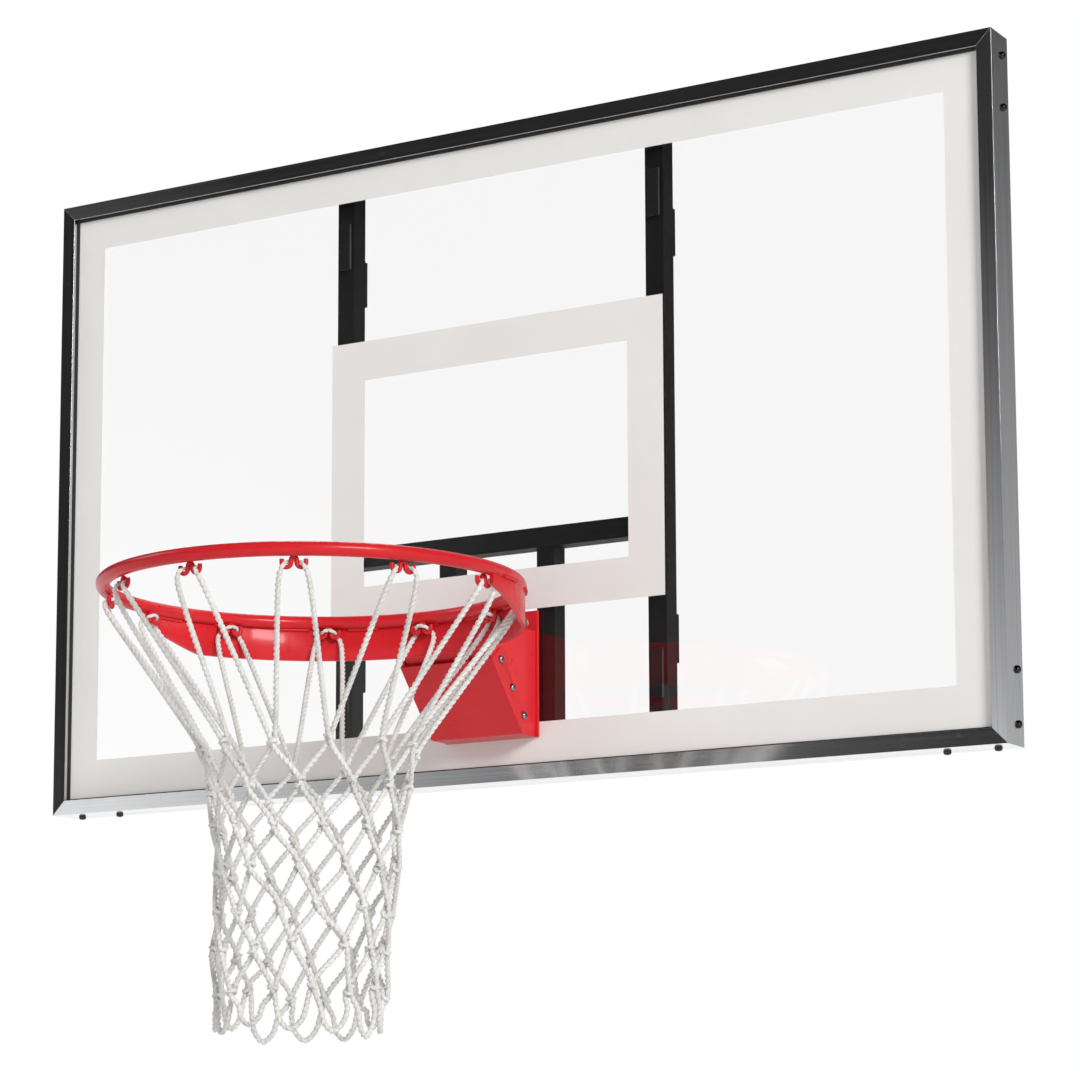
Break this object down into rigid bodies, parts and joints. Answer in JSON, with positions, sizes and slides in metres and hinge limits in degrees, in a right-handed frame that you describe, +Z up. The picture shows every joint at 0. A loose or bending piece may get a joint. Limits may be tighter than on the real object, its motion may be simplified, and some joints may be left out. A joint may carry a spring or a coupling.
{
  "type": "basketball backboard with breakaway goal",
  "caption": "Clear acrylic backboard in an aluminium frame with white shooting markings, a rear steel frame, and a red breakaway ring with a hanging cord net.",
  "frame": {"origin": "centre of the rear mount pattern, on the rear faces of the mount pads", "axes": "+X to the right as seen by a player, +Y back towards the support, +Z up"},
  "size_m": [1.3768, 0.6776, 1.1673],
  "materials": {
    "clear_plastic": "polished clear acrylic",
    "white_ink": "screen-printed white",
    "frame_aluminium": "satin anodised extrusion",
    "black_rubber": "matt black",
    "black_steel": "black powder coat",
    "bright_steel": "zinc plated",
    "grey_nylon": "moulded",
    "red_steel": "glossy red powder coat",
    "white_twine": "twisted twine"
  },
  "bodies": {
    "board": {"clear_panel": "clear_plastic", "border_marking": "white_ink", "target_marking": "white_ink", "top_rail": "frame_aluminium", "bottom_rail": "frame_aluminium", "left_rail": "frame_aluminium", "right_rail": "frame_aluminium", "glazing_gasket": "black_rubber", "panel_pads": "black_rubber", "left_upright": "black_steel", "right_upright": "black_steel", "crossbar": "black_steel", "left_goal_bar": "black_steel", "right_goal_bar": "black_steel", "goal_plate": "black_steel", "mount_pads": "black_steel", "corner_keys": "bright_steel", "corner_screws": "bright_steel", "tube_screws": "bright_steel", "mount_nuts": "bright_steel", "goal_bolts": "bright_steel", "goal_washers": "bright_steel", "goal_nuts": "bright_steel", "cover_screws": "bright_steel", "hinge_pin": "bright_steel", "pin_clip": "bright_steel", "left_spring": "bright_steel", "right_spring": "bright_steel", "panel_bushes": "grey_nylon", "rear_spring_seats": "grey_nylon", "back_plate": "red_steel", "left_gusset": "red_steel", "right_gusset": "red_steel", "top_bridge": "red_steel", "spring_shelf": "red_steel", "front_cover": "red_steel"},
    "goal_ring": {"ring": "red_steel", "brace": "red_steel", "hinge_bracket": "red_steel", "hinge_tube": "red_steel", "front_spring_seats": "grey_nylon", "net_hooks": "red_steel", "net": "white_twine"}
  },
  "joints": [
    {"name": "ring_tilt", "type": "hinge", "parent": "board", "child": "goal_ring", "pos_m": [0, -0.144, -0.2551], "axis": [1, 0, 0], "range_deg": [0, 25], "stiffness_Nm_per_rad": 170, "springref_deg": -20.05, "deforming": ["left_spring", "right_spring"]}
  ]
}
